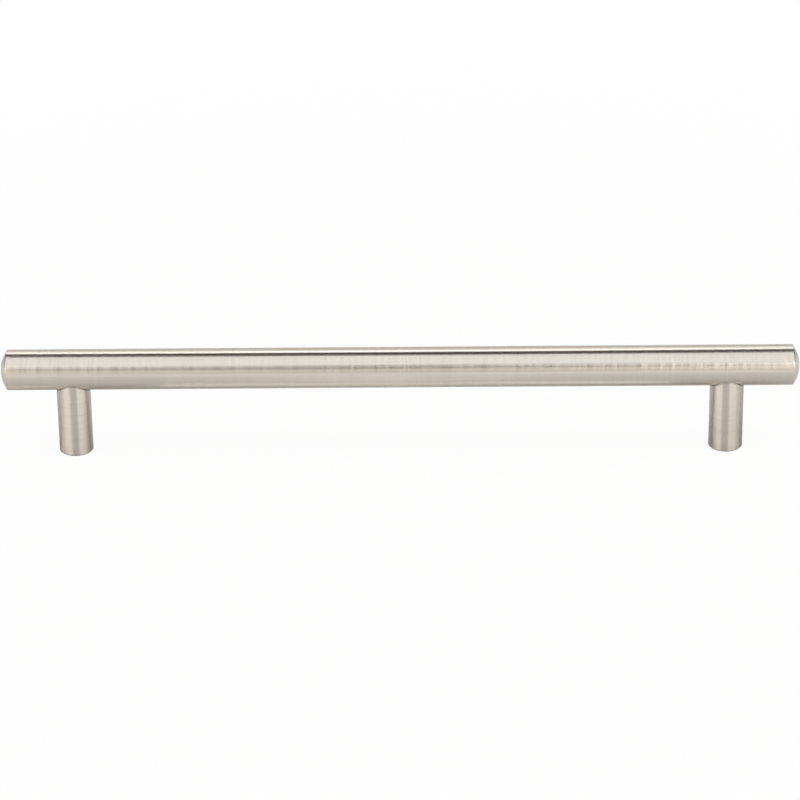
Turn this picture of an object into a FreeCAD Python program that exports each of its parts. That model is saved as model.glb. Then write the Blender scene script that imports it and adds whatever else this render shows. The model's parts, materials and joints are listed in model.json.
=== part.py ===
import FreeCAD, Part
import math
import os

# T bar cabinet pull: a round bar carried by two round posts, in millimetres.
# Origin: centre of the mounting plane, midway between the feet of the posts.
# +X runs along the bar, +Z from the mounting plane out to the bar.

# Driving dimensions
HOLE_CENTRES = 192.0           # between the two mounting holes
END_OVERHANG = 21.0            # from a hole's axis to the tip of the bar beside it
PROJECTION = 32.0              # from the mounting plane to the crest of the bar

BAR_DIAMETER = 12.0
END_DOME_HEIGHT = 1.8          # swell of each end, inside its rounded rim
END_EDGE_RADIUS = 0.2          # rounding between the end and the barrel

POST_DIAMETER = 10.0
FOOT_CHAMFER = 0.4             # around the foot, at the mounting plane
SHOULDER_CHAMFER = 0.2         # around the top, inside the seat

SEAT_DEPTH = 2.6               # flat seat under the bar, from the bar's lowest line
SEAT_CLEARANCE = 0.1           # all round the post, inside its seat

MOUNTING_THREAD_DIAMETER = 4.0
MOUNTING_THREAD_PITCH = 0.7
MOUNTING_HOLE_DEPTH = 9.0

STUD_THREAD_DIAMETER = 5.0
STUD_THREAD_PITCH = 0.8
STUD_LENGTH = 10.0
STUD_IN_BAR = 4.5              # how much of the stud the bar takes
STUD_END_CHAMFER = 0.5
STUD_CLEARANCE = 0.05          # all round the stud, inside its tapped holes
STUD_HOLE_RUNOUT = 0.5         # hole left past each end of the stud
SOCKET_ACROSS_FLATS = 2.5
SOCKET_DEPTH = 2.4

DRILL_POINT_ANGLE = 118.0      # at the blind end of every drilled hole
MOUTH_CHAMFER = 0.2            # countersink past the thread, at each mouth

# Worked out from them
UP = FreeCAD.Vector(0, 0, 1)
ALONG = FreeCAD.Vector(1, 0, 0)
BAR_RADIUS = BAR_DIAMETER / 2
BAR_AXIS_HEIGHT = PROJECTION - BAR_RADIUS
BAR_HALF_LENGTH = HOLE_CENTRES / 2 + END_OVERHANG
POST_RADIUS = POST_DIAMETER / 2
POST_LENGTH = BAR_AXIS_HEIGHT - BAR_RADIUS + SEAT_DEPTH
STUD_FOOT_HEIGHT = POST_LENGTH - (STUD_LENGTH - STUD_IN_BAR)
POST_AXES = {"left": -HOLE_CENTRES / 2, "right": HOLE_CENTRES / 2}

# A tapped hole is drilled one pitch narrower than its thread, and a stud's body fits that drilling
MOUNTING_DRILL_DIAMETER = MOUNTING_THREAD_DIAMETER - MOUNTING_THREAD_PITCH
STUD_DRILL_DIAMETER = STUD_THREAD_DIAMETER - STUD_THREAD_PITCH
STUD_BODY_DIAMETER = STUD_DRILL_DIAMETER - 2 * STUD_CLEARANCE


def turned(outline, axis):
    """Solid swept by a closed outline of edges through a full turn about an axis at the origin."""
    face = Part.Face(Part.Wire(outline))
    return face.revolve(FreeCAD.Vector(), axis, 360)


def closed_path(points):
    """Straight edges through the points, back to the first."""
    ends = points[1:] + points[:1]
    return [Part.makeLine(start, end) for start, end in zip(points, ends)]


def drill_point_height(radius):
    """Height of the cone that a drill of this radius leaves at the end of its hole."""
    return radius / math.tan(math.radians(DRILL_POINT_ANGLE / 2))


def tapped_hole(drill_diameter, thread_diameter, depth):
    """Space of a blind tapped hole: mouth at the origin, running up +Z to a drill point."""
    wall = drill_diameter / 2
    mouth = thread_diameter / 2 + MOUTH_CHAMFER
    profile = [
        FreeCAD.Vector(0, 0, 0),
        FreeCAD.Vector(mouth, 0, 0),
        FreeCAD.Vector(wall, 0, mouth - wall),
        FreeCAD.Vector(wall, 0, depth),
        FreeCAD.Vector(0, 0, depth + drill_point_height(wall)),
    ]
    return turned(closed_path(profile), UP)


def stud_hole(depth):
    """Space of the tapped hole that takes one end of a joining stud."""
    return tapped_hole(STUD_DRILL_DIAMETER, STUD_THREAD_DIAMETER, depth + STUD_HOLE_RUNOUT)


def rim_arc_points(rim_centre, dome_centre, dome_radius):
    """Start, middle and end of the rounding that is tangent to the barrel and to the domed end."""
    barrel_tangent = rim_centre + UP * END_EDGE_RADIUS
    dome_direction = (rim_centre - dome_centre).normalize()
    dome_tangent = dome_centre + dome_direction * dome_radius
    middle_direction = (UP + dome_direction).normalize()
    return barrel_tangent, rim_centre + middle_direction * END_EDGE_RADIUS, dome_tangent


def turned_bar():
    """The round rod: a straight barrel whose ends are shallow domes with rounded rims."""
    flat_radius = BAR_RADIUS - END_EDGE_RADIUS
    dome_radius = (flat_radius ** 2 + END_DOME_HEIGHT ** 2) / (2 * END_DOME_HEIGHT)
    dome_centre = FreeCAD.Vector(BAR_HALF_LENGTH - dome_radius, 0, 0)
    inner_radius = dome_radius - END_EDGE_RADIUS
    rim_reach = math.sqrt(inner_radius ** 2 - flat_radius ** 2)
    rim_centre = FreeCAD.Vector(dome_centre.x + rim_reach, 0, flat_radius)
    rim_start, rim_middle, rim_end = rim_arc_points(rim_centre, dome_centre, dome_radius)
    tip = FreeCAD.Vector(BAR_HALF_LENGTH, 0, 0)
    half_angle = math.atan2(rim_end.z, rim_end.x - dome_centre.x) / 2
    dome_middle = dome_centre + FreeCAD.Vector(math.cos(half_angle), 0, math.sin(half_angle)) * dome_radius

    right_end = [
        Part.Arc(rim_start, rim_middle, rim_end).toShape(),
        Part.Arc(rim_end, dome_middle, tip).toShape(),
    ]
    centre_line = Part.makeLine(tip, FreeCAD.Vector(0, 0, 0))
    middle = Part.makeLine(FreeCAD.Vector(0, 0, 0), FreeCAD.Vector(0, 0, BAR_RADIUS))
    barrel = Part.makeLine(FreeCAD.Vector(0, 0, BAR_RADIUS), rim_start)
    right_half = turned([barrel] + right_end + [centre_line, middle], ALONG)
    left_half = right_half.mirror(FreeCAD.Vector(), ALONG)
    return right_half.fuse(left_half).removeSplitter()


def seat_cut():
    """Space of a post's seat: a flat-bottomed pocket in the bar's underside, about the post's axis."""
    radius = POST_RADIUS + SEAT_CLEARANCE
    pocket = Part.makeCylinder(radius, POST_LENGTH)
    tapped = stud_hole(STUD_IN_BAR)
    tapped.translate(UP * POST_LENGTH)
    return pocket.fuse(tapped)


def make_bar():
    """The bar, lifted to its height, with a seat and a tapped hole for each post."""
    bar = turned_bar()
    bar.translate(UP * BAR_AXIS_HEIGHT)
    for post_axis in POST_AXES.values():
        seat = seat_cut()
        seat.translate(ALONG * post_axis)
        bar = bar.cut(seat)
    return bar


def make_post(post_axis):
    """A turned post: chamfered foot, tapped for the mounting screw, tapped at its top for the stud."""
    profile = [
        FreeCAD.Vector(0, 0, 0),
        FreeCAD.Vector(POST_RADIUS - FOOT_CHAMFER, 0, 0),
        FreeCAD.Vector(POST_RADIUS, 0, FOOT_CHAMFER),
        FreeCAD.Vector(POST_RADIUS, 0, POST_LENGTH - SHOULDER_CHAMFER),
        FreeCAD.Vector(POST_RADIUS - SHOULDER_CHAMFER, 0, POST_LENGTH),
        FreeCAD.Vector(0, 0, POST_LENGTH),
    ]
    post = turned(closed_path(profile), UP)
    mounting_hole = tapped_hole(MOUNTING_DRILL_DIAMETER, MOUNTING_THREAD_DIAMETER, MOUNTING_HOLE_DEPTH)
    top_hole = stud_hole(STUD_LENGTH - STUD_IN_BAR)
    top_hole.rotate(FreeCAD.Vector(), ALONG, 180)
    top_hole.translate(UP * POST_LENGTH)
    post = post.cut(mounting_hole).cut(top_hole)
    post.translate(ALONG * post_axis)
    return post


def hexagon_socket():
    """Space of the hexagonal key socket: mouth at the origin, running up +Z to the point of its drill."""
    flat_radius = SOCKET_ACROSS_FLATS / 2
    corner_radius = flat_radius / math.cos(math.pi / 6)
    corners = []
    for side in range(6):
        angle = side * math.pi / 3
        corners.append(FreeCAD.Vector(math.cos(angle), math.sin(angle), 0) * corner_radius)
    face = Part.Face(Part.Wire(closed_path(corners)))
    point = Part.makeCone(flat_radius, 0, drill_point_height(flat_radius))
    point.translate(UP * SOCKET_DEPTH)
    return face.extrude(UP * SOCKET_DEPTH).fuse(point)


def make_stud(post_axis):
    """A headless joining screw, chamfered at both ends, with its key socket at the foot."""
    radius = STUD_BODY_DIAMETER / 2
    profile = [
        FreeCAD.Vector(0, 0, 0),
        FreeCAD.Vector(radius - STUD_END_CHAMFER, 0, 0),
        FreeCAD.Vector(radius, 0, STUD_END_CHAMFER),
        FreeCAD.Vector(radius, 0, STUD_LENGTH - STUD_END_CHAMFER),
        FreeCAD.Vector(radius - STUD_END_CHAMFER, 0, STUD_LENGTH),
        FreeCAD.Vector(0, 0, STUD_LENGTH),
    ]
    stud = turned(closed_path(profile), UP).cut(hexagon_socket())
    stud.translate(ALONG * post_axis + UP * STUD_FOOT_HEIGHT)
    return stud


def make_parts():
    """Every piece of the pull, by the name of its node."""
    parts = {"bar": make_bar()}
    for side, post_axis in POST_AXES.items():
        parts[side + "_post"] = make_post(post_axis)
        parts[side + "_joining_stud"] = make_stud(post_axis)
    return parts


os.makedirs("parts", exist_ok=True)
for node, shape in make_parts().items():
    shape.exportStep("parts/" + node + ".step")
    box = shape.optimalBoundingBox()
    print(
        node,
        "valid", shape.isValid(),
        "solids", len(shape.Solids),
        "volume", round(shape.Volume, 3),
        "x", round(box.XMin, 3), round(box.XMax, 3),
        "z", round(box.ZMin, 3), round(box.ZMax, 3),
    )
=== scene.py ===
import json
import math

import bpy
import numpy as np
from bpy.props import FloatProperty, FloatVectorProperty, PointerProperty
from mathutils import Matrix, Vector


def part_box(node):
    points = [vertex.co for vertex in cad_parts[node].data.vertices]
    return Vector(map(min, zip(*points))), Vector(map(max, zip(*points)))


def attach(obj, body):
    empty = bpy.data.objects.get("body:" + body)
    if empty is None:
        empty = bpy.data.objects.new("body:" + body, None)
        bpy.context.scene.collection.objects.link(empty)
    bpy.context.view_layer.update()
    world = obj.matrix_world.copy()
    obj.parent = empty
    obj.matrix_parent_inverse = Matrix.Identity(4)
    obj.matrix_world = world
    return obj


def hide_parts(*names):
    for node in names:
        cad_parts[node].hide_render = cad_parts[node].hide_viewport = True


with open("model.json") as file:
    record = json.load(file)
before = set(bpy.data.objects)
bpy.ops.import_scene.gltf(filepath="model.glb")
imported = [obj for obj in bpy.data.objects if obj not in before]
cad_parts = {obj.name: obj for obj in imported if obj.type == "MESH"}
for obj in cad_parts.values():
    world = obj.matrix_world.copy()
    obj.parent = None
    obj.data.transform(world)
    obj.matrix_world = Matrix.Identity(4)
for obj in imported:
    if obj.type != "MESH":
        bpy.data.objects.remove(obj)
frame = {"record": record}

bl_info = {
    "name": "T Bar Cabinet Pull",
    "version": (1, 0, 0),
    "blender": (4, 5, 0),
    "location": "3D View > Sidebar > Cabinet Pull",
    "description": "Builds a brushed nickel bar pull around its packed solids, and the studio it stands in",
    "category": "Object",
}

BODY = "root"
TURN = 2 * math.pi
MM = 0.001
ALONG, BEHIND, UP = np.eye(3)

BAR_LOW, BAR_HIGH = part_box("bar")
BAR_RADIUS = (BAR_HIGH.z - BAR_LOW.z) / 2
BAR_AXIS_HEIGHT = (BAR_HIGH.z + BAR_LOW.z) / 2
POST_BOXES = {side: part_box(side + "_post") for side in ("left", "right")}
STUD_BOXES = {side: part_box(side + "_joining_stud") for side in ("left", "right")}
MOUNTS = {mount["name"]: mount for mount in frame["record"]["mounts"]}

# Fineness of the grids
BAR_COLUMNS = 192              # round the bar
BAR_STATIONS = 90              # along its barrel, outside the windows left for the seats
DOME_POINTS = 40
RIM_POINTS = 14
WINDOW_HALF = 6.6 * MM         # from a post's axis to either end of its window
WINDOW_MARGIN = 0.5 * MM       # kept free of other stations past either end
WINDOW_STATIONS = 34
WINDOW_COLUMNS = 37            # from the bar's lowest line to either side of a window
PATCH_POINTS = 9               # from a window's edge to the rim of its seat
POST_COLUMNS = 160
POST_SIDE_ROWS = 24
POST_SIDE_MARGIN = 0.3 * MM    # between those rows and the chamfers
STUD_COLUMNS = 120
THREAD_ROWS = 14               # to each pitch
ARC_POINTS = 6                 # on each rounded edge
SHARP_ANGLE = math.radians(32.0)

# Flats of a thread, as shares of its pitch
OUTER_FLAT = 0.125
INNER_FLAT = 0.25

# Lead-in at the mouth of the key socket
SOCKET_LEAD_DEPTH = 0.1 * MM
SOCKET_LEAD_WIDTH = 0.04 * MM

# Brushing of the metal
LINE_REACH = 20 * MM           # how far round the piece a brush line runs
RIPPLE_REACH = 150 * MM        # how far round a ripple of the grinding runs
DRIFT_SPACING = 25 * MM        # size of the drift of tone, along the piece
DRIFT_REACH = 12 * MM          # and round it
LINE_TONE = 0.03               # how far a brush line lightens or darkens the metal
DRIFT_TONE = 0.015
LINE_ROUGHNESS = 0.012         # how far a brush line raises or lowers the roughness
RIPPLE_ROUGHNESS = 0.006
# Painted shade: heights over which the darkening painted into the seam between a post and the bar fades out
PAINTED_SEAM_SHADE_FADE = (1.0 * MM, 3.4 * MM)  # over the bar's lowest line, from full shade to none

# Shifts that give each piece brush lines of its own
LINE_SHIFTS = {"bar": 0.31, "left_post": 0.47, "right_post": 0.83, "studs": 0.12}

# Floor, in metres from its middle, with white as a share
FLOOR_HALF = 4.0
SEEN_FADE = (0.14, 0.40)       # where the camera sees it turn white
SEEN_WHITE = 0.945             # how white the camera sees it before that
MIRRORED_FADE = (0.60, 1.60)   # where reflections see it turn white

# Camera, lamps and cards, in metres and degrees
SENSOR_WIDTH = 36.0            # of the camera, in millimetres
LAMP_DISTANCE = 1.2
LAMP_COLOUR = (1.0, 0.995, 0.985)
ACROSS_HALF = 1.5              # from the middle of a card along the bar to its ends
ACROSS_POINTS = 49
BOW_WIDTH = 0.25               # distance to the side at which such a card has bent by one bow
MOST_BOWS = 4.0                # however far to the side it reaches
FRONT_DISTANCE = 0.95
BACK_DISTANCE = 1.25
FLOOR_CARD_HEIGHT = 0.3 * MM
GROUND = -1.0                  # elevation that takes a card down almost to the floor

# Upright cards: name, azimuths from straight in front, elevations from the bar, colour
BACK_CARDS = (
    ("back_wall", (155, 207), (GROUND, 38), (0.62, 0.60, 0.56)),
    ("left_side_gap", (207, 263), (GROUND, 52), (0.01, 0.01, 0.01)),
    ("right_side_gap", (97, 155), (GROUND, 52), (0.01, 0.01, 0.01)),
)
FRONT_CARDS = (
    ("left_softbox", (-71, -28), (GROUND, 30), (2.3, 2.2, 2.1)),
    ("left_far_panel", (-97, -71), (GROUND, 30), (1.08, 1.03, 0.98)),
    ("right_softbox", (20.5, 70), (6, 29), (2.6, 2.6, 2.55)),
    ("right_lower_panel", (20.5, 97), (GROUND, 6), (1.5, 1.4, 1.2)),
    ("front_gap", (-27.5, 20.5), (8, 15), (0.48, 0.46, 0.41)),
    ("front_low_gap", (-27.5, 20.5), (GROUND, 8), (0.64, 0.61, 0.55)),
)
CAMERA_CARDS = (
    ("left_of_camera", (-27.5, -11), (15, 28), (0.48, 0.45, 0.40)),
    ("camera_hole", (-11, 6), (15, 38.5), (0.0, 0.0, 0.0)),
    ("right_of_camera", (6, 13.5), (15, 28), (0.05, 0.02, 0.01)),
    ("right_dim_panel", (13.5, 20.5), (15, 28), (0.90, 0.86, 0.78)),
)

# Cards on the floor that only reflections see, as painted shade or painted light on the floor: name,
# corners as places along the bar and behind the pull, colour
FLOOR_CARDS = (
    (
        # Painted shade: a dim card on the floor in front of the pull
        "front_floor_painted_shade",
        ((-0.103, -1.5), (0.103, -1.5), (0.103, -0.25), (-0.103, -0.25)),
        (0.42, 0.42, 0.38),
    ),
    (
        # Painted light: a bright card on the floor by the left post's foot, where its shadow falls
        "left_floor_painted_light",
        ((-0.13, -0.01), (-0.1015, -0.01), (-0.1015, -0.0015), (-0.13, 0.0035)),
        (0.66, 0.63, 0.59),
    ),
    (
        # Painted light: a bright card on the floor under the bar, where its shadow falls
        "under_bar_painted_light",
        ((-0.072, -0.014), (0.08, -0.014), (0.08, -0.0015), (-0.072, -0.0015)),
        (0.74, 0.73, 0.69),
    ),
)


def length_setting(name, description, default):
    """A length that a user can change."""
    return FloatProperty(name=name, description=description, default=default, min=0.0, unit="LENGTH")


def angle_setting(name, description, degrees):
    """An angle that a user can change."""
    return FloatProperty(name=name, description=description, default=math.radians(degrees), unit="ROTATION")


def share_setting(name, description, default):
    """A share between nought and one that a user can change."""
    return FloatProperty(
        name=name, description=description, default=default, min=0.0, max=1.0, subtype="FACTOR",
    )


def number_setting(name, description, default):
    """A plain number, nought or more, that a user can change."""
    return FloatProperty(name=name, description=description, default=default, min=0.0)


def colour_setting(name, description, default):
    """A colour that a user can change."""
    return FloatVectorProperty(
        name=name, description=description, default=default, min=0.0, max=1.0, size=3, subtype="COLOR",
    )


class PullSizes(bpy.types.PropertyGroup):
    """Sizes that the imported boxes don't give, as in the solids, and the fine rounding of the edges."""

    end_dome_height: length_setting(
        "End Dome Height", "Swell of each end of the bar, inside its rounded rim", 1.8 * MM)
    end_edge_radius: length_setting(
        "End Edge Radius", "Rounding between the end and the barrel of the bar", 0.2 * MM)
    seat_clearance: length_setting(
        "Seat Clearance", "Room all round a post, inside its seat in the bar", 0.1 * MM)
    foot_chamfer: length_setting(
        "Foot Chamfer", "Chamfer around the foot of a post", 0.4 * MM)
    shoulder_chamfer: length_setting(
        "Shoulder Chamfer", "Chamfer around the top of a post, inside the seat", 0.2 * MM)
    edge_break: length_setting(
        "Edge Break", "Fine rounding that polishing leaves on every machined edge", 0.06 * MM)
    mounting_pitch: length_setting(
        "Mounting Thread Pitch", "Pitch of the thread in the foot of a post", 0.7 * MM)
    stud_pitch: length_setting(
        "Stud Thread Pitch", "Pitch of the thread on a joining stud", 0.8 * MM)
    stud_clearance: length_setting(
        "Stud Clearance", "Room all round a joining stud, inside its tapped holes", 0.05 * MM)
    stud_runout: length_setting(
        "Stud Hole Runout", "Hole left past each end of a joining stud", 0.5 * MM)
    stud_end_chamfer: length_setting(
        "Stud End Chamfer", "Chamfer around both ends of a joining stud", 0.5 * MM)
    socket_across_flats: length_setting(
        "Socket Across Flats", "Width of the key socket in the foot of a joining stud", 2.5 * MM)
    socket_depth: length_setting(
        "Socket Depth", "Depth of the key socket, above its drill point", 2.4 * MM)
    mouth_chamfer: length_setting(
        "Mouth Chamfer", "Countersink past the thread, at the mouth of a tapped hole", 0.2 * MM)
    drill_point_angle: angle_setting(
        "Drill Point Angle", "Included angle of the cone at the end of a drilled hole", 118.0)


class FinishSettings(bpy.types.PropertyGroup):
    """Colour and brushing of the metal."""

    nickel_colour: colour_setting(
        "Nickel", "Colour of the satin nickel plating", (0.76, 0.705, 0.645))
    zinc_colour: colour_setting(
        "Zinc", "Colour of the zinc plating on the joining studs", (0.50, 0.52, 0.54))
    bar_roughness: share_setting(
        "Bar Roughness", "Mean roughness of the brushed bar", 0.252)
    bar_anisotropy: share_setting(
        "Bar Anisotropy", "How far brushing stretches the bar's highlights across its lines", 0.827)
    post_roughness: share_setting(
        "Post Roughness", "Mean roughness of the turned and brushed posts and studs", 0.315)
    post_anisotropy: share_setting(
        "Post Anisotropy", "How far brushing stretches the posts' highlights across its lines", 1.0)
    line_depth: length_setting(
        "Line Depth", "Depth of the brush lines", 0.02 * MM)
    line_spacing: length_setting(
        "Line Spacing", "Typical distance between two brush lines", 0.80 * MM)
    ripple_depth: length_setting(
        "Ripple Depth", "Depth of the shallow ripples that grinding leaves", 0.15 * MM)
    ripple_spacing: length_setting(
        "Ripple Spacing", "Typical distance between two shallow ripples", 4.0 * MM)
    # Painted shade: how far the metal's colour is darkened in the seam between a post and the bar, where
    # shade falls, and how far from the seam that ends
    painted_seam_shade: share_setting(
        "Seam Shade", "How far the metal darkens in the seam between a post and the bar", 0.8)
    seam_reach: length_setting(
        "Seam Reach", "How far from the seam that darkening ends", 0.4 * MM)


class StudioSettings(bpy.types.PropertyGroup):
    """Camera, floor and lights."""

    camera_azimuth: angle_setting(
        "Camera Azimuth", "Camera's turn to the right of straight in front", 0.70)
    camera_elevation: angle_setting(
        "Camera Elevation", "Camera's height above the horizon", 24.92)
    camera_roll: angle_setting(
        "Camera Roll", "Camera's turn about its own line of sight", -0.69)
    camera_distance: length_setting(
        "Camera Distance", "Distance from the camera to the point it looks at", 1.05)
    camera_lens: number_setting(
        "Camera Lens", "Focal length, in millimetres on a 36 mm sensor", 160.5)
    aim_height: length_setting(
        "Aim Height", "Height of the point that the camera looks at", 15.37 * MM)
    floor_colour: colour_setting(
        "Floor", "Colour of the floor", (0.81, 0.80, 0.775))
    # Painted shade: reflections see the floor's colour darkened in a pool around each post's foot, where
    # its shadow falls
    shade_depth: share_setting(
        "Shade Depth", "How far reflections see the floor darken close to the posts' feet", 0.35)
    shade_reach: length_setting(
        "Shade Reach", "How far from a post that darkening ends", 115 * MM)
    shade_stretch: number_setting(
        "Shade Stretch", "How fast that darkening fades along the bar, against across it", 0.75)
    overhead_bow: angle_setting(
        "Overhead Bow", "How far back the overhead cards bend, a quarter of a metre to the side", 7.0)
    softbox_strength: number_setting(
        "Softbox Strength", "Brightness of the wide softbox overhead, where 1 is white", 1.2)
    strip_strength: number_setting(
        "Strip Strength", "Brightness of the small lamp overhead, where 1 is white", 1.6)
    back_strength: number_setting(
        "Back Strip Strength", "Brightness of the strip softbox behind, where 1 is white", 1.85)
    ambient_strength: number_setting(
        "Ambient Strength", "Brightness of the room on matt surfaces, where 1 is white", 0.35)


def axis_place(box):
    """Place along the bar of the axis of an upright round piece that fills its box."""
    return (box[0].x + box[1].x) / 2


def round_radius(box):
    """Radius of an upright round piece that fills its box."""
    return (box[1].x - box[0].x) / 2


def unit(vectors):
    """Each vector divided by its own length."""
    return vectors / np.linalg.norm(vectors, axis=-1, keepdims=True)


def straight(places, radius):
    """Profile points at one radius, at places along the axis."""
    return np.stack([places, np.full_like(places, radius)], axis=-1)


def rounded_profile(corners, radii):
    """A path through the corners, each corner replaced by an arc of its own radius.

    At a corner that turns by an angle a, an arc of radius r leaves each side r tan(a/2) before the
    corner and is swept about the point r / cos(a/2) along the corner's bisector. A radius of nought
    keeps the corner sharp.
    """
    corners = np.asarray(corners, float)
    share = np.linspace(0.0, 1.0, ARC_POINTS)[:, None]
    points = [corners[:1]]
    for before, corner, after, radius in zip(corners[:-2], corners[1:-1], corners[2:], radii):
        if radius <= 0.0:
            points.append(corner[None])
            continue
        to_before, to_after = unit(before - corner), unit(after - corner)
        half = math.acos(float(np.clip(to_before @ to_after, -1.0, 1.0))) / 2
        centre = corner + unit(to_before + to_after) * radius / math.sin(half)
        first = corner + to_before * radius / math.tan(half) - centre
        last = corner + to_after * radius / math.tan(half) - centre
        sweep = math.pi - 2 * half
        arc = (np.sin((1 - share) * sweep) * first + np.sin(share * sweep) * last) / math.sin(sweep)
        points.append(centre + arc)
    points.append(corners[-1:])
    return np.concatenate(points)


def path_length(points):
    """Distance along the path up to each of its points."""
    steps = np.linalg.norm(np.diff(points, axis=0), axis=1)
    return np.concatenate([[0.0], np.cumsum(steps)])


def drill_point(radius, sizes):
    """Height of the cone that a drill of this radius leaves."""
    return radius / math.tan(sizes.drill_point_angle / 2)


def tapped_radii(drill, pitch, sizes):
    """Radii of a tapped hole at the bottom of its thread and at the rim of its countersunk mouth."""
    thread = drill + pitch / 2
    return thread, thread + sizes.mouth_chamfer


def threaded_wall(first, last, pitch):
    """Heights from first to last, close enough together to show each turn of a thread."""
    return np.linspace(first, last, max(2, int(round(abs(last - first) / pitch * THREAD_ROWS)) + 1))


def thread_form(heights, turn, start, pitch, low, high):
    """How far a thread reaches out from its wall, from nought to one.

    At a height and a share of a turn, the climb is (height - start) / pitch - turn. The form is a
    trapezoid about each whole climb, with an outer flat, an inner flat and two equal straight
    flanks, and it fades out over one pitch at low and at high. It serves both for the ridge on a
    stud and for the groove in a hole.
    """
    climb = (heights - start) / pitch - turn
    distance = np.abs((climb + 0.5) % 1.0 - 0.5)
    flank = (1.0 - OUTER_FLAT - INNER_FLAT) / 2
    form = np.clip((OUTER_FLAT / 2 + flank - distance) / flank, 0.0, 1.0)
    inside = np.minimum(heights - low, high - heights)
    return form * np.clip(inside / pitch, 0.0, 1.0)


def placed(name, data):
    """A new object that shows the data, put into the scene."""
    made = bpy.data.objects.new(name, data)
    bpy.context.scene.collection.objects.link(made)
    return made


class Surface:
    """A mesh gathered from grids of points, with a lathe coordinate at each point and a map.

    The lathe coordinate of a point is its distance along the turned profile, followed by two
    numbers that go round with the turning angle. The map, which tangents are taken from, holds the
    distance and the share of a turn.
    """

    def __init__(self):
        self.points = []
        self.lathe = []
        self.faces = []
        self.maps = []
        self.count = 0

    def add_points(self, points, lathe):
        """Adds a grid of points and returns their numbers in the same grid."""
        shape = points.shape[:-1]
        numbers = np.arange(self.count, self.count + int(np.prod(shape))).reshape(shape)
        self.points.append(points.reshape(-1, 3))
        self.lathe.append(np.broadcast_to(lathe, points.shape).reshape(-1, 3))
        self.count += numbers.size
        return numbers

    def add_rings(self, points, lathe):
        """Adds a grid whose rows are rings. The numbers it returns end with the first column again."""
        numbers = self.add_points(points, lathe)
        return np.concatenate([numbers, numbers[:, :1]], axis=1)

    def add_quads(self, numbers, along, around, keep=None):
        """Quads between the rows and columns of a grid of point numbers.

        along and around are the map's two values over the same grid. keep marks the quads wanted.
        Each quad starts along its columns, so that it faces out of a grid whose rows follow the
        outline and whose columns go round it.
        """
        near, far = slice(None, -1), slice(1, None)
        corners = [(near, near), (near, far), (far, far), (far, near)]
        quads = np.stack([numbers[c] for c in corners], axis=-1)
        values = np.stack([np.stack([along[c], around[c]], axis=-1) for c in corners], axis=-2)
        if keep is None:
            keep = np.ones(quads.shape[:2], bool)
        self.faces.append(quads[keep])
        self.maps.append(values[keep])

    def add_tip(self, ring, tip, along_ring, along_tip, around, before):
        """Closes a ring of point numbers with triangles to one new point, before or after it.

        along_ring and along_tip are their distances along the outline, and around is each ring
        point's share of a turn.
        """
        number = self.add_points(np.array([tip]), np.array([[along_tip, 0.0, 0.0]]))[0]
        ends = (slice(1, None), slice(None, -1)) if before else (slice(None, -1), slice(1, None))
        first, second = (ring[end] for end in ends)
        turn_first, turn_second = (around[end] for end in ends)
        turn_tip = (turn_first + turn_second) / 2
        self.faces.append(np.stack([first, second, np.full_like(first, number)], axis=-1))
        self.maps.append(np.stack([
            np.stack([np.full_like(turn, along), turn], axis=-1)
            for along, turn in ((along_ring, turn_first), (along_ring, turn_second), (along_tip, turn_tip))
        ], axis=-2))

    def add_turned(self, points, profile, length, angles, tips, keep=None):
        """Adds a turned grid, closed at both ends by a tip on the axis, and returns its numbers.

        Its lathe coordinate is the length, then the profile's radius times the cosine and the sine
        of the angle. Each tip is a point and its distance along the outline.
        """
        turned = angles[:-1]
        shape = (len(profile), len(turned))
        radius = np.broadcast_to(profile[:, 1:], shape)
        numbers = self.add_rings(points, np.stack([
            np.broadcast_to(length[:, None], shape), radius * np.cos(turned), radius * np.sin(turned),
        ], axis=-1))
        along, around = np.meshgrid(length, angles / TURN, indexing="ij")
        self.add_quads(numbers, along, around, keep)
        (first_tip, along_first), (last_tip, along_last) = tips
        self.add_tip(numbers[0], first_tip, length[0], along_first, around[0], True)
        self.add_tip(numbers[-1], last_tip, length[-1], along_last, around[0], False)
        return numbers

    def make(self, name):
        """Puts the gathered surface into a Blender mesh and returns its object."""
        points = np.concatenate(self.points)
        lathe = np.concatenate(self.lathe)
        used = np.zeros(len(points), bool)
        for face in self.faces:
            used[face.ravel()] = True
        renumber = np.cumsum(used) - 1
        sides = np.concatenate([np.full(len(face), face.shape[1]) for face in self.faces])
        starts = np.concatenate([[0], np.cumsum(sides)[:-1]])
        corner_points = np.concatenate([renumber[face].ravel() for face in self.faces])
        corner_maps = np.concatenate([values.reshape(-1, 2) for values in self.maps])

        mesh = bpy.data.meshes.new(name)
        mesh.vertices.add(int(used.sum()))
        mesh.vertices.foreach_set("co", points[used].ravel().astype(np.float32))
        mesh.loops.add(len(corner_points))
        mesh.loops.foreach_set("vertex_index", corner_points.astype(np.int32))
        mesh.polygons.add(len(sides))
        mesh.polygons.foreach_set("loop_start", starts.astype(np.int32))
        mesh.polygons.foreach_set("use_smooth", np.ones(len(sides), bool))
        mesh.update(calc_edges=True)
        lathe_map = mesh.uv_layers.new(name="lathe_map")
        lathe_map.uv.foreach_set("vector", corner_maps.ravel().astype(np.float32))
        turning = mesh.attributes.new("lathe", "FLOAT_VECTOR", "POINT")
        turning.data.foreach_set("vector", lathe[used].ravel().astype(np.float32))
        if mesh.validate():
            raise RuntimeError(name + " has faces that Blender had to mend")
        mesh.set_sharp_from_angle(angle=SHARP_ANGLE)
        return placed(name, mesh)


def turned_points(along, radii, angles, centre, axis, first, second):
    """Points of a turned surface, one row for each profile point and one column for each angle.

    A point is centre + along axis + radius (cos angle first + sin angle second).
    """
    spokes = np.cos(angles)[:, None] * first + np.sin(angles)[:, None] * second
    return centre + along[..., None] * axis + radii[..., None] * spokes


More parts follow.
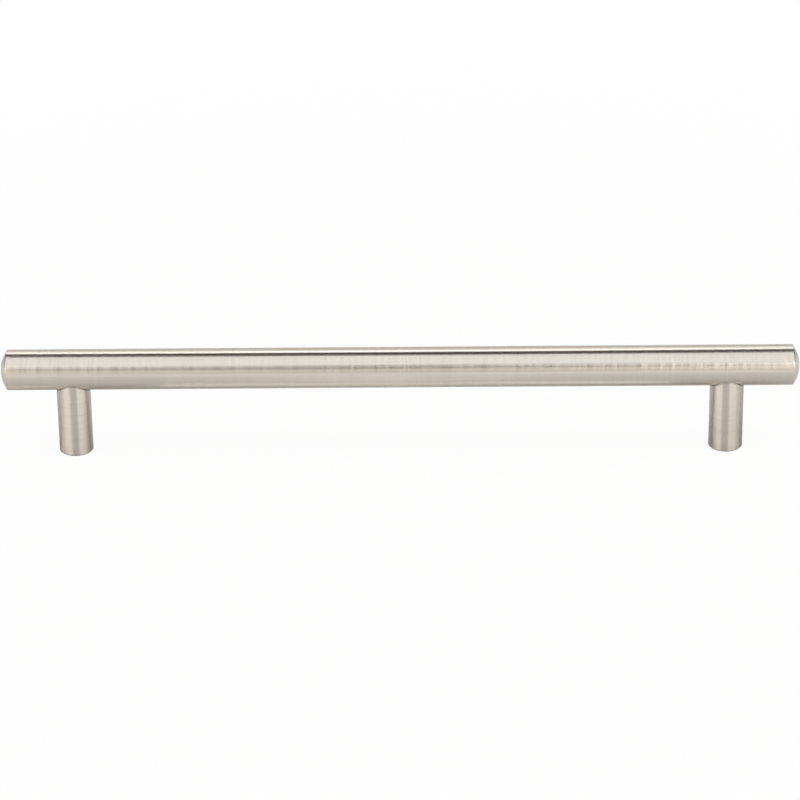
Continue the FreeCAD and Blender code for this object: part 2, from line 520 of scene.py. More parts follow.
def end_profile(sizes, radius, half_length):
    """Half outline of the bar's end, from the tip to where the barrel starts, as (distance, radius).

    The dome is an arc about a centre on the axis. The rim is an arc of the edge radius that is
    tangent to the dome and to the barrel.
    """
    edge = sizes.end_edge_radius
    inner = radius - edge
    dome = (inner ** 2 + sizes.end_dome_height ** 2) / (2 * sizes.end_dome_height)
    dome_centre = half_length - dome
    rim_centre = dome_centre + math.sqrt((dome - edge) ** 2 - inner ** 2)
    slope = math.atan2(inner, rim_centre - dome_centre)
    dome_angles = np.linspace(0.0, slope, DOME_POINTS)
    rim_angles = np.linspace(slope, math.pi / 2, RIM_POINTS)[1:]
    return np.concatenate([
        np.stack([dome_centre + dome * np.cos(dome_angles), dome * np.sin(dome_angles)], axis=-1),
        np.stack([rim_centre + edge * np.cos(rim_angles), inner + edge * np.sin(rim_angles)], axis=-1),
    ])


def barrel_stations(half_length):
    """Places along the barrel, evenly spread, and closer together in the window around each post."""
    spread = np.linspace(-half_length, half_length, BAR_STATIONS)
    windows = []
    for box in POST_BOXES.values():
        place = axis_place(box)
        spread = spread[np.abs(spread - place) > WINDOW_HALF + WINDOW_MARGIN]
        windows.append(np.linspace(place - WINDOW_HALF, place + WINDOW_HALF, WINDOW_STATIONS))
    stations = np.unique(np.round(np.concatenate([spread, *windows]), 9))
    return stations[np.abs(stations) < half_length]


def window_edge(first, last, low, high):
    """Rows and columns of the points around a window of the grid, once round and back to the first."""
    rows = np.concatenate([
        np.full(high - low, first), np.arange(first, last),
        np.full(high - low, last), np.arange(last, first, -1), [first],
    ])
    columns = np.concatenate([
        np.arange(low, high), np.full(last - first, high),
        np.arange(high, low, -1), np.full(last - first, low), [low],
    ])
    return rows, columns


def make_bar_surface(sizes):
    """The bar: a turned rod with domed ends, and in its underside a seat and a tapped hole for each post.

    The rod is a grid over distance along its axis and turning angle, measured from its lowest line.
    Around each post a window of that grid is left out, and a second grid fills it.
    """
    half_length = (BAR_HIGH.x - BAR_LOW.x) / 2
    centre = np.array([(BAR_HIGH.x + BAR_LOW.x) / 2, 0.0, BAR_AXIS_HEIGHT])
    angles = np.linspace(-math.pi, math.pi, BAR_COLUMNS + 1)
    end = end_profile(sizes, BAR_RADIUS, half_length)
    barrel = straight(barrel_stations(end[-1, 0]), BAR_RADIUS)
    profile = np.concatenate([end[1:] * [-1, 1], barrel, end[:0:-1]])
    first_step = np.linalg.norm(end[1] - end[0])
    length = path_length(profile) + first_step
    points = turned_points(profile[:, :1], profile[:, 1:], angles[:-1], centre, ALONG, -UP, BEHIND)

    low, high = BAR_COLUMNS // 2 - WINDOW_COLUMNS, BAR_COLUMNS // 2 + WINDOW_COLUMNS
    keep = np.ones((len(profile) - 1, BAR_COLUMNS), bool)
    windows = []
    for box in POST_BOXES.values():
        ends = (axis_place(box) - WINDOW_HALF, axis_place(box) + WINDOW_HALF)
        first, last = (int(np.argmin(np.abs(profile[:, 0] - place))) for place in ends)
        keep[first:last, low:high] = False
        windows.append((box, *window_edge(first, last, low, high)))

    surface = Surface()
    tips = (
        (centre - half_length * ALONG, 0.0),
        (centre + half_length * ALONG, length[-1] + first_step),
    )
    numbers = surface.add_turned(points, profile, length, angles, tips, keep)
    for box, rows, columns in windows:
        offset = profile[rows, 0] - axis_place(box)
        add_seat(surface, sizes, numbers[rows, columns], offset, angles[columns], length[rows], box)
    return surface


def add_seat(surface, sizes, ring, offset, angle, ring_length, post_box):
    """Fills one window of the bar: the barrel up to the seat's rim, the seat, and the tapped hole.

    Seen from below, column k leaves the post's axis in the direction psi of its window point. The
    seat's rim is the circle of the seat's radius in that view, lifted on to the barrel, where the
    barrel's turning angle is arcsin(seat radius sin psi / bar radius). The patch of barrel runs
    straight in from the window to the rim, over distance along the axis and turning angle.
    """
    place = axis_place(post_box)
    seat_radius = round_radius(post_box) + sizes.seat_clearance
    psi = np.unwrap(np.arctan2(BAR_RADIUS * np.sin(angle), offset))
    rim_radius = seat_radius + sizes.edge_break
    rim_offset = rim_radius * np.cos(psi)
    rim_angle = np.arcsin(rim_radius * np.sin(psi) / BAR_RADIUS)
    rim_length = rim_offset + ring_length[0] - offset[0]
    share = np.linspace(0.0, 1.0, PATCH_POINTS)[1:, None]
    patch_offset = offset * (1 - share) + rim_offset * share
    patch_angle = angle * (1 - share) + rim_angle * share
    patch_length = ring_length * (1 - share) + rim_length * share
    across, down = BAR_RADIUS * np.sin(patch_angle), BAR_RADIUS * np.cos(patch_angle)
    patch = np.stack([place + patch_offset, across, BAR_AXIS_HEIGHT - down], axis=-1)
    lathe = np.stack([patch_length, down, across], axis=-1)
    patch_numbers = surface.add_rings(patch[:, :-1], lathe[:, :-1])
    surface.add_quads(
        np.concatenate([ring[None], patch_numbers]),
        np.concatenate([ring_length[None], patch_length]),
        np.concatenate([angle[None], patch_angle]) / TURN,
    )
    add_seat_walls(surface, sizes, patch_numbers[-1:], psi, place, seat_radius, post_box[1].z)


def add_seat_walls(surface, sizes, rim, psi, place, seat_radius, floor_height):
    """The seat's wall, its floor, and the tapped hole above it, carried on from the rim's numbers.

    In the direction psi, the wall starts where the seat's cylinder leaves the barrel, at the bar's
    axis less the root of (bar radius squared less (seat radius sin psi) squared).
    """
    edge, pitch = sizes.edge_break, sizes.stud_pitch
    stud_low, stud_high = STUD_BOXES["left"]
    drill = round_radius(STUD_BOXES["left"]) + sizes.stud_clearance
    thread, mouth = tapped_radii(drill, pitch, sizes)
    hole_low = floor_height + mouth - drill
    hole_top = stud_high.z + sizes.stud_runout
    rim_height = BAR_AXIS_HEIGHT - np.sqrt(BAR_RADIUS ** 2 - (seat_radius * np.sin(psi)) ** 2)
    wall = rounded_profile(
        [(0.0, seat_radius), (floor_height, seat_radius), (floor_height, mouth),
         (hole_low, drill), (hole_low + edge, drill)],
        [edge, edge, edge],
    )[1:-1]
    level = np.ones_like(psi)
    screw = threaded_wall(hole_low + edge, hole_top, pitch)[:, None] * level
    groove = thread_form(screw, psi / TURN, stud_low.z, pitch, hole_low, hole_top)
    heights = np.concatenate([(rim_height + edge)[None], wall[:, :1] * level, screw])
    radii = np.concatenate([
        seat_radius * level[None], wall[:, 1:] * level, drill + (thread - drill) * groove,
    ])

    across, behind = radii * np.cos(psi), radii * np.sin(psi)
    depth = path_length(np.stack([heights.mean(1), radii.mean(1)], axis=-1))
    depth = np.broadcast_to(depth[:, None], heights.shape)
    points = np.stack([place + across, behind, heights], axis=-1)
    lathe = np.stack([depth, across, behind], axis=-1)
    numbers = surface.add_rings(points[:, :-1], lathe[:, :-1])
    rows = np.concatenate([rim, numbers])
    around = np.broadcast_to(psi / TURN, rows.shape)
    surface.add_quads(rows, np.concatenate([depth[:1] - edge, depth]), around)
    tip = (place, 0.0, hole_top + drill_point(drill, sizes))
    surface.add_tip(numbers[-1], tip, depth[-1, 0], depth[-1, 0] + drill, psi / TURN, False)


def make_post_surface(sizes, side):
    """A turned post, as one grid over the distance along its outline and the turning angle.

    The outline starts at the drill point in the foot, comes down the threaded wall, goes out across
    the foot, up the side, in across the top and down the threaded wall of the stud's hole to its
    drill point. Along the threaded walls the radius grows by the groove's depth.
    """
    top = POST_BOXES[side][1].z
    radius = round_radius(POST_BOXES[side])
    place = axis_place(POST_BOXES[side])
    edge = sizes.edge_break
    mount = MOUNTS[side + "_mounting_thread"]["dims"]
    mount_drill = mount["r_mm"] * MM
    mount_thread, mount_mouth = tapped_radii(mount_drill, sizes.mounting_pitch, sizes)
    mount_low = mount_mouth - mount_drill
    mount_top = mount_low + mount["length_mm"] * MM
    stud_foot = STUD_BOXES[side][0].z
    stud_drill = round_radius(STUD_BOXES[side]) + sizes.stud_clearance
    stud_thread, stud_mouth = tapped_radii(stud_drill, sizes.stud_pitch, sizes)
    hole_low = stud_foot - sizes.stud_runout
    hole_top = top - (stud_mouth - stud_drill)

    outside = rounded_profile(
        [(mount_low + edge, mount_drill), (mount_low, mount_drill), (0.0, mount_mouth),
         (0.0, radius - sizes.foot_chamfer), (sizes.foot_chamfer, radius),
         (top - sizes.shoulder_chamfer, radius), (top, radius - sizes.shoulder_chamfer),
         (top, stud_mouth), (hole_top, stud_drill), (hole_top - edge, stud_drill)],
        [0.0, edge, edge * 2, edge * 2, edge, edge, edge, 0.0],
    )[1:-1]
    side_low = sizes.foot_chamfer + POST_SIDE_MARGIN
    side_high = top - sizes.shoulder_chamfer - POST_SIDE_MARGIN
    turn_up = int(np.argmax(outside[:, 0] > top / 2))
    foot_wall = threaded_wall(mount_top, mount_low, sizes.mounting_pitch)[:-1]
    top_wall = threaded_wall(hole_top, hole_low, sizes.stud_pitch)[1:]
    profile = np.concatenate([
        straight(foot_wall, mount_drill), outside[:turn_up],
        straight(np.linspace(side_low, side_high, POST_SIDE_ROWS), radius),
        outside[turn_up:], straight(top_wall, stud_drill),
    ])

    angles = np.linspace(0.0, TURN, POST_COLUMNS + 1)
    turn = angles[:-1] / TURN
    heights = profile[:, :1] * np.ones(POST_COLUMNS)
    radii = profile[:, 1:] * np.ones(POST_COLUMNS)
    in_foot, in_top = slice(None, len(foot_wall)), slice(-len(top_wall), None)
    radii[in_foot] += (mount_thread - mount_drill) * thread_form(
        heights[in_foot], turn, sizes.mounting_pitch / 2, sizes.mounting_pitch, mount_low, mount_top,
    )
    radii[in_top] += (stud_thread - stud_drill) * thread_form(
        heights[in_top], turn, stud_foot, sizes.stud_pitch, hole_low, hole_top,
    )
    length = path_length(profile)
    tips = (
        ((place, 0.0, mount_top + drill_point(mount_drill, sizes)), -mount_drill),
        ((place, 0.0, hole_low - drill_point(stud_drill, sizes)), length[-1] + stud_drill),
    )
    surface = Surface()
    points = turned_points(heights, radii, angles[:-1], place * ALONG, UP, ALONG, BEHIND)
    surface.add_turned(points, profile, length, angles, tips)
    return surface


def make_stud_surface(sizes, side):
    """A joining stud, as one grid over its outline and the turning angle.

    The outline starts at the drill point of the key socket, comes down its hexagonal wall, goes out
    over the chamfer, up the threaded side and in across the top. The socket's radius at an angle is
    its inner radius divided by the cosine of the angle from the nearest flat's middle. The thread's
    ridge is added at every height between the chamfers, so it also widens the socket's far end.
    """
    low, high = STUD_BOXES[side]
    place = axis_place(STUD_BOXES[side])
    body = round_radius(STUD_BOXES[side])
    crest = body + sizes.stud_pitch / 2 - sizes.stud_clearance
    chamfer = sizes.stud_end_chamfer
    thread_low, thread_top = low.z + chamfer, high.z - chamfer
    flat_radius = sizes.socket_across_flats / 2
    socket_top = low.z + sizes.socket_depth

    profile = np.concatenate([
        [(socket_top, flat_radius), (socket_top, flat_radius), (low.z + SOCKET_LEAD_DEPTH, flat_radius),
         (low.z, flat_radius), (low.z, body - chamfer)],
        straight(threaded_wall(thread_low, thread_top, sizes.stud_pitch), body),
        [(high.z, body - chamfer)],
    ])
    angles = np.linspace(0.0, TURN, STUD_COLUMNS + 1)
    hexagon = flat_radius / np.cos(angles[:-1] % (TURN / 6) - TURN / 12)
    heights = profile[:, :1] * np.ones(STUD_COLUMNS)
    radii = profile[:, 1:] * np.ones(STUD_COLUMNS)
    radii[1:3] = hexagon
    radii[3] = hexagon + SOCKET_LEAD_WIDTH
    radii += (crest - body) * thread_form(
        heights, angles[:-1] / TURN, low.z, sizes.stud_pitch, thread_low, thread_top,
    )
    length = path_length(profile)
    tips = (
        ((place, 0.0, socket_top + drill_point(flat_radius, sizes)), -flat_radius),
        ((place, 0.0, high.z), length[-1] + body),
    )
    surface = Surface()
    points = turned_points(heights, radii, angles[:-1], place * ALONG, UP, ALONG, BEHIND)
    surface.add_turned(points, profile, length, angles, tips)
    return surface


def node(tree, kind, place, **values):
    """A shader node at a place in its tree, with its properties and sockets set by name."""
    made = tree.nodes.new(kind)
    made.location = place
    for name, value in values.items():
        if hasattr(made, name):
            setattr(made, name, value)
        else:
            made.inputs[name.replace("_", " ")].default_value = value
    return made


def calculated(tree, operation, place, first, second):
    """A sum, product or the like of two values, each of them another node's output or a number."""
    made = node(tree, "ShaderNodeMath", place, operation=operation)
    for value, socket in zip((first, second), made.inputs):
        if isinstance(value, bpy.types.NodeSocket):
            tree.links.new(value, socket)
        else:
            socket.default_value = value
    return made.outputs["Value"]


def ranged(tree, value, place, low, high, from_low=0.3, from_high=0.7):
    """The stretch of a value between from_low and from_high, spread over low to high."""
    spread = node(
        tree, "ShaderNodeMapRange", place,
        From_Min=from_low, From_Max=from_high, To_Min=low, To_Max=high,
    )
    tree.links.new(value, spread.inputs["Value"])
    return spread.outputs["Result"]


def streaks(tree, source, place, along, around):
    """Noise drawn out round the lathe: fine along the profile and long round the turn."""
    across = (place[0] + 200, place[1])
    stretch = node(tree, "ShaderNodeMapping", place, Scale=(1 / along, 1 / around, 1 / around))
    noise = node(tree, "ShaderNodeTexNoise", across, Scale=1.0, Detail=1.0, Roughness=0.6)
    tree.links.new(source, stretch.inputs["Vector"])
    tree.links.new(stretch.outputs["Vector"], noise.inputs["Vector"])
    return noise.outputs["Fac"]


def folded_distance(tree, place, scale, offset):
    """Length of the vector that the scale and the offset make of the object coordinates without signs.

    Both halves of the pull share it, because each is the other's mirror image.
    """
    left, height = place
    where = node(tree, "ShaderNodeTexCoord", place)
    fold = node(tree, "ShaderNodeVectorMath", (left + 200, height), operation="ABSOLUTE")
    across = node(tree, "ShaderNodeMapping", (left + 400, height), Scale=scale, Location=offset)
    far = node(tree, "ShaderNodeVectorMath", (left + 600, height), operation="LENGTH")
    tree.links.new(where.outputs["Object"], fold.inputs[0])
    tree.links.new(fold.outputs["Vector"], across.inputs["Vector"])
    tree.links.new(across.outputs["Vector"], far.inputs[0])
    return far.outputs["Value"]


def painted_seam_shade_factor(tree, finish, scale, offset, radius):
    """Painted shade near the seam between a post and the bar, as a factor on the metal's colour: one, and
    less in the seam.

    The scale and the offset make a vector from the axis of the piece across the seam, whose radius
    is given. The painted shade fades from the underside of the bar up to where its front passes the post,
    which faces the light.
    """
    far = folded_distance(tree, (-1900, 800), scale, offset)
    near = ranged(tree, far, (-1100, 800), finish.painted_seam_shade, 0.0, radius, radius + finish.seam_reach)
    where = node(tree, "ShaderNodeTexCoord", (-1500, 500))
    split = node(tree, "ShaderNodeSeparateXYZ", (-1300, 500))
    tree.links.new(where.outputs["Object"], split.inputs["Vector"])
    fade_low, fade_high = (BAR_LOW.z + height for height in PAINTED_SEAM_SHADE_FADE)
    low = ranged(tree, split.outputs["Z"], (-1100, 500), 1.0, 0.0, fade_low, fade_high)
    shade = calculated(tree, "MULTIPLY", (-900, 700), near, low)
    return calculated(tree, "SUBTRACT", (-700, 700), 1.0, shade)


def brushed_metal(name, colour, roughness, anisotropy, finish, line_shift, seam=None):
    """Satin metal brushed round the lathe, with brush lines, ripples and a faint drift of tone.

    The seam is the scale, offset and radius that its painted seam shade is worked out from, or none.
    """
    material = bpy.data.materials.new(name)
    material.use_nodes = True
    tree = material.node_tree
    shader = tree.nodes["Principled BSDF"]
    lathe = node(tree, "ShaderNodeAttribute", (-1400, 0), attribute_name="lathe")
    shift = node(tree, "ShaderNodeMapping", (-1200, 0), Location=(line_shift, line_shift, 0.0))
    tree.links.new(lathe.outputs["Vector"], shift.inputs["Vector"])
    place = shift.outputs["Vector"]
    lines = streaks(tree, place, (-950, 300), finish.line_spacing, LINE_REACH)
    ripples = streaks(tree, place, (-950, 0), finish.ripple_spacing, RIPPLE_REACH)
    drift = streaks(tree, place, (-950, -300), DRIFT_SPACING, DRIFT_REACH)

    line_tone = ranged(tree, lines, (-700, 350), 1 - LINE_TONE, 1 + LINE_TONE)
    drift_tone = ranged(tree, drift, (-700, 150), 1 - DRIFT_TONE, 1 + DRIFT_TONE)
    light = calculated(tree, "MULTIPLY", (-520, 250), line_tone, drift_tone)
    # Painted shade: darkens the metal's colour in the seam between a post and the bar
    if seam:
        light = calculated(tree, "MULTIPLY", (-400, 500), light, painted_seam_shade_factor(tree, finish, *seam))
    tone = node(
        tree, "ShaderNodeMix", (-200, 300), data_type="RGBA", blend_type="MULTIPLY",
        Factor=1.0, A=(*colour, 1.0),
    )
    tree.links.new(light, tone.inputs["B"])
    tree.links.new(tone.outputs["Result"], shader.inputs["Base Color"])

    line_roughness = ranged(
        tree, lines, (-700, -50), roughness - LINE_ROUGHNESS, roughness + LINE_ROUGHNESS,
    )
    ripple_roughness = ranged(tree, ripples, (-700, -250), -RIPPLE_ROUGHNESS, RIPPLE_ROUGHNESS)
    spread = calculated(tree, "ADD", (-520, -50), line_roughness, ripple_roughness)
    tree.links.new(spread, shader.inputs["Roughness"])

    ripple_bump = node(tree, "ShaderNodeBump", (-400, -300), Strength=1.0, Distance=finish.ripple_depth)
    line_bump = node(tree, "ShaderNodeBump", (-200, -300), Strength=1.0, Distance=finish.line_depth)
    tree.links.new(ripples, ripple_bump.inputs["Height"])
    tree.links.new(lines, line_bump.inputs["Height"])
    tree.links.new(ripple_bump.outputs["Normal"], line_bump.inputs["Normal"])
    tree.links.new(line_bump.outputs["Normal"], shader.inputs["Normal"])

    tangent = node(tree, "ShaderNodeTangent", (-200, -550), direction_type="UV_MAP", uv_map="lathe_map")
    tree.links.new(tangent.outputs["Tangent"], shader.inputs["Tangent"])
    shader.inputs["Metallic"].default_value = 1.0
    shader.inputs["Anisotropic"].default_value = anisotropy
    return material


def finish_piece(piece, nodes, material):
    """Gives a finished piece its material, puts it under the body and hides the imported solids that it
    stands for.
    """
    piece.data.materials.append(material)
    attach(piece, BODY)
    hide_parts(*nodes)


class PULL_OT_bar(bpy.types.Operator):
    """Build the brushed bar with its seats and tapped holes"""

    bl_idname = "cabinet_pull.bar"
    bl_label = "Build Bar"

    def execute(self, context):
        sizes, finish = context.scene.pull_sizes, context.scene.pull_finish
        piece = make_bar_surface(sizes).make("brushed_bar")
        post_place = axis_place(POST_BOXES["right"])
        seat_radius = round_radius(POST_BOXES["right"]) + sizes.seat_clearance
        material = brushed_metal(
            "satin_nickel_bar", finish.nickel_colour, finish.bar_roughness, finish.bar_anisotropy,
            finish, LINE_SHIFTS["bar"], seam=((1.0, 1.0, 0.0), (-post_place, 0.0, 0.0), seat_radius),
        )
        finish_piece(piece, ["bar"], material)
        return {"FINISHED"}


class PULL_OT_posts(bpy.types.Operator):
    """Build the two turned posts with their threads"""

    bl_idname = "cabinet_pull.posts"
    bl_label = "Build Posts"

    def execute(self, context):
        sizes, finish = context.scene.pull_sizes, context.scene.pull_finish
        for side in POST_BOXES:
            piece = make_post_surface(sizes, side).make(side + "_turned_post")
            material = brushed_metal(
                "satin_nickel_" + side + "_post", finish.nickel_colour, finish.post_roughness,
                finish.post_anisotropy, finish, LINE_SHIFTS[side + "_post"],
                seam=((0.0, 1.0, 1.0), (0.0, 0.0, -BAR_AXIS_HEIGHT), BAR_RADIUS),
            )
            finish_piece(piece, [side + "_post"], material)
        return {"FINISHED"}


class PULL_OT_studs(bpy.types.Operator):
    """Build the two threaded studs that join the posts to the bar"""

    bl_idname = "cabinet_pull.studs"
    bl_label = "Build Joining Studs"

    def execute(self, context):
        sizes, finish = context.scene.pull_sizes, context.scene.pull_finish
        material = brushed_metal(
            "zinc_plated_steel", finish.zinc_colour, finish.post_roughness, finish.post_anisotropy,
            finish, LINE_SHIFTS["studs"],
        )
        for side in STUD_BOXES:
            piece = make_stud_surface(sizes, side).make(side + "_threaded_stud")
            finish_piece(piece, [side + "_joining_stud"], material)
        return {"FINISHED"}


def bare_material(name):
    """A material whose tree of nodes is still empty."""
    material = bpy.data.materials.new(name)
    material.use_nodes = True
    material.node_tree.nodes.clear()
    return material


def surface_output(tree, place, shader):
    """Ends a material's tree with its output."""
    out = node(tree, "ShaderNodeOutputMaterial", place)
    tree.links.new(shader, out.inputs["Surface"])


def stage_card(name, corners, colour, strength=1.0):
    """A card that only reflections see, glowing evenly with its colour.

    The first half of its corners run along one edge and the second half back along the other.
    """
    mesh = bpy.data.meshes.new(name)
    last = len(corners) - 1
    strips = [(i, i + 1, last - i - 1, last - i) for i in range(len(corners) // 2 - 1)]
    mesh.from_pydata([tuple(corner) for corner in corners], [], strips)
    card = placed(name, mesh)
    material = bare_material(name)
    tree = material.node_tree
    glow = node(tree, "ShaderNodeEmission", (0, 0), Color=(*colour, 1.0), Strength=strength)
    surface_output(tree, (200, 0), glow.outputs["Emission"])
    mesh.materials.append(material)
    card.visible_camera = False
    card.visible_diffuse = False
    card.visible_shadow = False


def across_card(name, low_angle, high_angle, distance, bow, colour, strength=1.0):
    """A card along the line of the bar, between two angles over the front horizon, seen from its middle.

    Its two long edges bend back to the sides: at a distance x to the side the angle grows by the
    bow times the square of x / BOW_WIDTH, and by no more than MOST_BOWS bows.
    """
    aside = np.linspace(-ACROSS_HALF, ACROSS_HALF, ACROSS_POINTS)
    bend = bow * np.minimum((aside / BOW_WIDTH) ** 2, MOST_BOWS)
    near, far = (
        np.stack([aside, -distance * np.cos(angle), BAR_AXIS_HEIGHT + distance * np.sin(angle)], axis=-1)
        for angle in (math.radians(low_angle) + bend, math.radians(high_angle) + bend)
    )
    stage_card(name, np.concatenate([near, far[::-1]]), colour, strength)


def wall_card(name, azimuths, elevations, distance, colour):
    """An upright card between two azimuths from straight in front and two elevations, seen from the bar."""
    first, last = (math.radians(azimuth) for azimuth in azimuths)
    low, high = (
        BAR_AXIS_HEIGHT + distance * math.tan(math.radians(elevation)) for elevation in elevations
    )
    corners = [
        (distance * math.sin(azimuth), -distance * math.cos(azimuth), height)
        for azimuth, height in ((first, low), (last, low), (last, high), (first, high))
    ]
    stage_card(name, corners, colour)


def floor_card(name, outline, colour):
    """A card lying just above the floor; its corners go (along the bar, behind the pull)."""
    stage_card(name, [(along, behind, FLOOR_CARD_HEIGHT) for along, behind in outline], colour)


def softbox(name, degrees, width, height, strength):
    """A rectangular lamp over the bar, at an angle over the front horizon, facing the bar's middle."""
    lamp = bpy.data.lights.new(name, "AREA")
    lamp.shape = "RECTANGLE"
    lamp.size, lamp.size_y = width, height
    lamp.energy = strength * math.pi * width * height
    lamp.color = LAMP_COLOUR
    holder = placed(name, lamp)
    angle = math.radians(degrees)
    toward = Vector((0.0, -math.cos(angle), math.sin(angle)))
    holder.location = toward * LAMP_DISTANCE
    holder.rotation_euler = toward.to_track_quat("Z", "Y").to_euler()
    holder.visible_camera = False
    holder.visible_glossy = False


def floor_colour_with_painted_shade(tree, studio, mirrored):
    """Colour of the floor, with a painted shade that only reflections see, in a pool around each post's
    foot.
    """
    foot = axis_place(POST_BOXES["right"])
    stretch = studio.shade_stretch
    # Painted shade: how far the floor's colour darkens, for reflections only, near each post's foot
    pool = folded_distance(tree, (-1500, 700), (stretch, 1.0, 0.0), (-foot * stretch, 0.0, 0.0))
    painted_shade_fade = ranged(tree, pool, (-700, 700), studio.shade_depth, 0.0, 0.0, studio.shade_reach)
    painted_shade_mix = node(
        tree, "ShaderNodeMix", (-300, 700), data_type="RGBA",
        A=(*studio.floor_colour, 1.0), B=(0.0, 0.0, 0.0, 1.0),
    )
    tree.links.new(calculated(tree, "MULTIPLY", (-500, 700), painted_shade_fade, mirrored), painted_shade_mix.inputs["Factor"])
    return painted_shade_mix.outputs["Result"]


def make_floor(studio):
    """A pale floor that keeps the pull's shadow, with painted shade around the posts' feet for reflections,
    and fades to white for the camera and for reflections.
    """
    mesh = bpy.data.meshes.new("floor")
    corners = [(x * FLOOR_HALF, y * FLOOR_HALF, 0.0) for x, y in ((-1, -1), (1, -1), (1, 1), (-1, 1))]
    mesh.from_pydata(corners, [], [(0, 1, 2, 3)])
    floor = placed("floor", mesh)
    material = bare_material("floor")
    tree = material.node_tree
    path = node(tree, "ShaderNodeLightPath", (-1500, 400))
    mirrored = path.outputs["Is Glossy Ray"]

    where = node(tree, "ShaderNodeTexCoord", (-900, 0))
    far = node(tree, "ShaderNodeVectorMath", (-700, 0), operation="LENGTH")
    tree.links.new(where.outputs["Object"], far.inputs[0])
    seen_fade = ranged(tree, far.outputs["Value"], (-500, 0), SEEN_WHITE, 1.0, *SEEN_FADE)
    mirrored_fade = ranged(tree, far.outputs["Value"], (-500, -250), 0.0, 1.0, *MIRRORED_FADE)
    seen_white = calculated(tree, "MULTIPLY", (-300, 300), path.outputs["Is Camera Ray"], seen_fade)
    in_mirror = calculated(
        tree, "MAXIMUM", (-500, 500), mirrored, path.outputs["Is Transmission Ray"],
    )
    mirrored_white = calculated(tree, "MULTIPLY", (-300, 500), in_mirror, mirrored_fade)
    share = calculated(tree, "MAXIMUM", (-100, 400), seen_white, mirrored_white)

    paper = node(tree, "ShaderNodeBsdfDiffuse", (-100, 200))
    # The paper's colour carries the painted shade that reflections see
    tree.links.new(floor_colour_with_painted_shade(tree, studio, mirrored), paper.inputs["Color"])
    white = node(tree, "ShaderNodeEmission", (-100, 0), Color=(1.0, 1.0, 1.0, 1.0), Strength=1.0)
    mix = node(tree, "ShaderNodeMixShader", (100, 200))
    for value, socket in zip((share, paper.outputs["BSDF"], white.outputs["Emission"]), mix.inputs):
        tree.links.new(value, socket)
    surface_output(tree, (300, 200), mix.outputs["Shader"])
    mesh.materials.append(material)


def make_world(studio):
    """A room that the camera and reflections see as white, and matt surfaces at a plain level."""
    world = bpy.data.worlds.new("studio")
    bpy.context.scene.world = world
    world.use_nodes = True
    tree = world.node_tree
    background = tree.nodes["Background"]
    background.inputs["Color"].default_value = (1.0, 1.0, 1.0, 1.0)
    path = node(tree, "ShaderNodeLightPath", (-800, 0))
    seen = calculated(
        tree, "MAXIMUM", (-600, 0), path.outputs["Is Camera Ray"], path.outputs["Is Glossy Ray"],
    )
    shown = calculated(tree, "MAXIMUM", (-400, 0), seen, path.outputs["Is Transmission Ray"])
    level = ranged(tree, shown, (-200, 0), studio.ambient_strength, 1.0, 0.0, 1.0)
    tree.links.new(level, background.inputs["Strength"])


def make_camera(studio):
    """The camera at the photograph's angle, turned a little about its own line of sight."""
    azimuth, elevation, roll = studio.camera_azimuth, studio.camera_elevation, studio.camera_roll
    back = Vector((
        math.sin(azimuth) * math.cos(elevation), -math.cos(azimuth) * math.cos(elevation),
        math.sin(elevation),
    ))
    right = Vector((math.cos(azimuth), math.sin(azimuth), 0.0))
    up = back.cross(right)
    turned_right = right * math.cos(roll) + up * math.sin(roll)
    turned_up = up * math.cos(roll) - right * math.sin(roll)
    lens = bpy.data.cameras.new("camera")
    lens.lens = studio.camera_lens
    lens.sensor_width = SENSOR_WIDTH
    place = Matrix((turned_right, turned_up, back)).transposed().to_4x4()
    place.translation = Vector((0.0, 0.0, studio.aim_height)) + back * studio.camera_distance
    camera = placed("camera", lens)
    camera.matrix_world = place
    bpy.context.scene.camera = camera


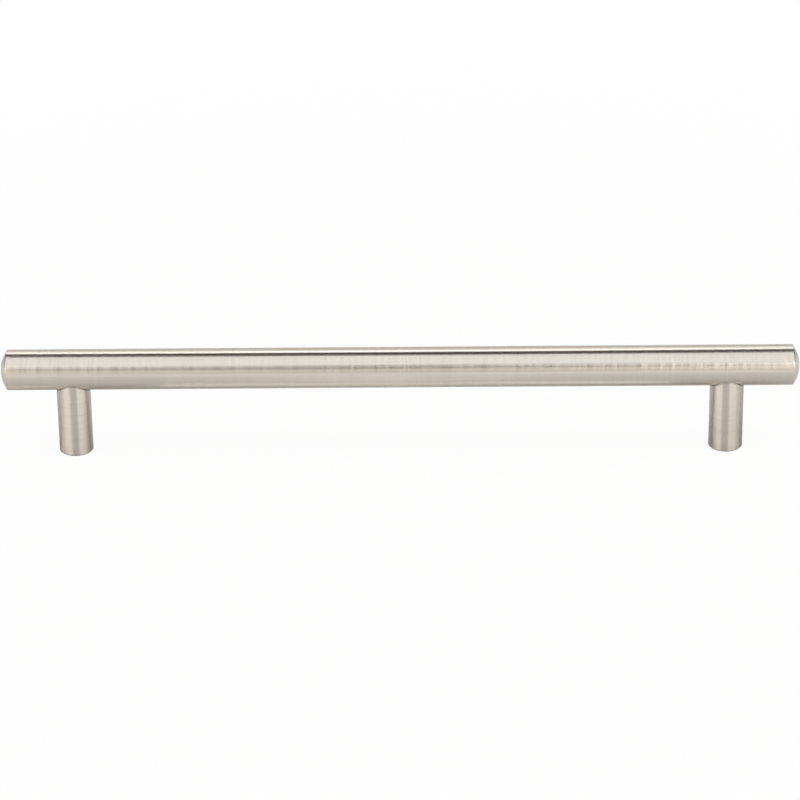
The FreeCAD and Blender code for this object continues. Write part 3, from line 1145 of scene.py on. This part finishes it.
class PULL_OT_stage(bpy.types.Operator):
    """Build the floor, the lights, the cards that shape the reflections, and the camera"""

    bl_idname = "cabinet_pull.stage"
    bl_label = "Build Studio"

    def execute(self, context):
        studio = context.scene.pull_studio
        make_floor(studio)
        make_world(studio)
        make_camera(studio)
        softbox("overhead_softbox", 84, 2.4, 1.8, studio.softbox_strength)
        softbox("overhead_strip", 80, 0.9, 0.5, studio.strip_strength)
        bow = studio.overhead_bow
        across_card("back_strip", 121, 131, 0.9, bow, (1.0, 1.0, 1.0), studio.back_strength)
        across_card("upper_wall", 131, 142, 0.95, bow, (0.97, 0.96, 0.94))
        across_card("overhead_gap", 93.5, 117.5, 0.9, bow, (0.055, 0.045, 0.035))
        for name, azimuths, elevations, colour in BACK_CARDS:
            wall_card(name, azimuths, elevations, BACK_DISTANCE, colour)
        for name, azimuths, elevations, colour in FRONT_CARDS:
            wall_card(name, azimuths, elevations, FRONT_DISTANCE, colour)
        for name, outline, colour in FLOOR_CARDS:
            floor_card(name, outline, colour)
        for name, azimuths, elevations, colour in CAMERA_CARDS:
            wall_card(name, azimuths, elevations, FRONT_DISTANCE, colour)
        context.scene.view_settings.view_transform = "Standard"
        return {"FINISHED"}


class PULL_PT_sidebar(bpy.types.Panel):
    """Lists the settings and the steps that build the pull and its studio"""

    bl_label = "Cabinet Pull"
    bl_idname = "PULL_PT_sidebar"
    bl_space_type = "VIEW_3D"
    bl_region_type = "UI"
    bl_category = "Cabinet Pull"

    def draw(self, context):
        layout = self.layout
        scene = context.scene
        for settings in (scene.pull_sizes, scene.pull_finish, scene.pull_studio):
            box = layout.box()
            for name in settings.__annotations__:
                box.prop(settings, name)
        for operator in STEPS:
            layout.operator(operator.bl_idname)


STEPS = (PULL_OT_bar, PULL_OT_posts, PULL_OT_studs, PULL_OT_stage)
CLASSES = (PullSizes, FinishSettings, StudioSettings, *STEPS, PULL_PT_sidebar)


def register():
    """Adds the classes, and the settings to the scene."""
    for cls in CLASSES:
        bpy.utils.register_class(cls)
    bpy.types.Scene.pull_sizes = PointerProperty(type=PullSizes)
    bpy.types.Scene.pull_finish = PointerProperty(type=FinishSettings)
    bpy.types.Scene.pull_studio = PointerProperty(type=StudioSettings)


def unregister():
    """Takes the settings and the classes away again."""
    del bpy.types.Scene.pull_studio
    del bpy.types.Scene.pull_finish
    del bpy.types.Scene.pull_sizes
    for cls in reversed(CLASSES):
        bpy.utils.unregister_class(cls)


def main():
    """Builds every piece and the studio."""
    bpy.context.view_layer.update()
    register()
    bpy.ops.cabinet_pull.bar()
    bpy.ops.cabinet_pull.posts()
    bpy.ops.cabinet_pull.studs()
    bpy.ops.cabinet_pull.stage()
    bpy.context.view_layer.update()


if __name__ == "__main__":
    main()
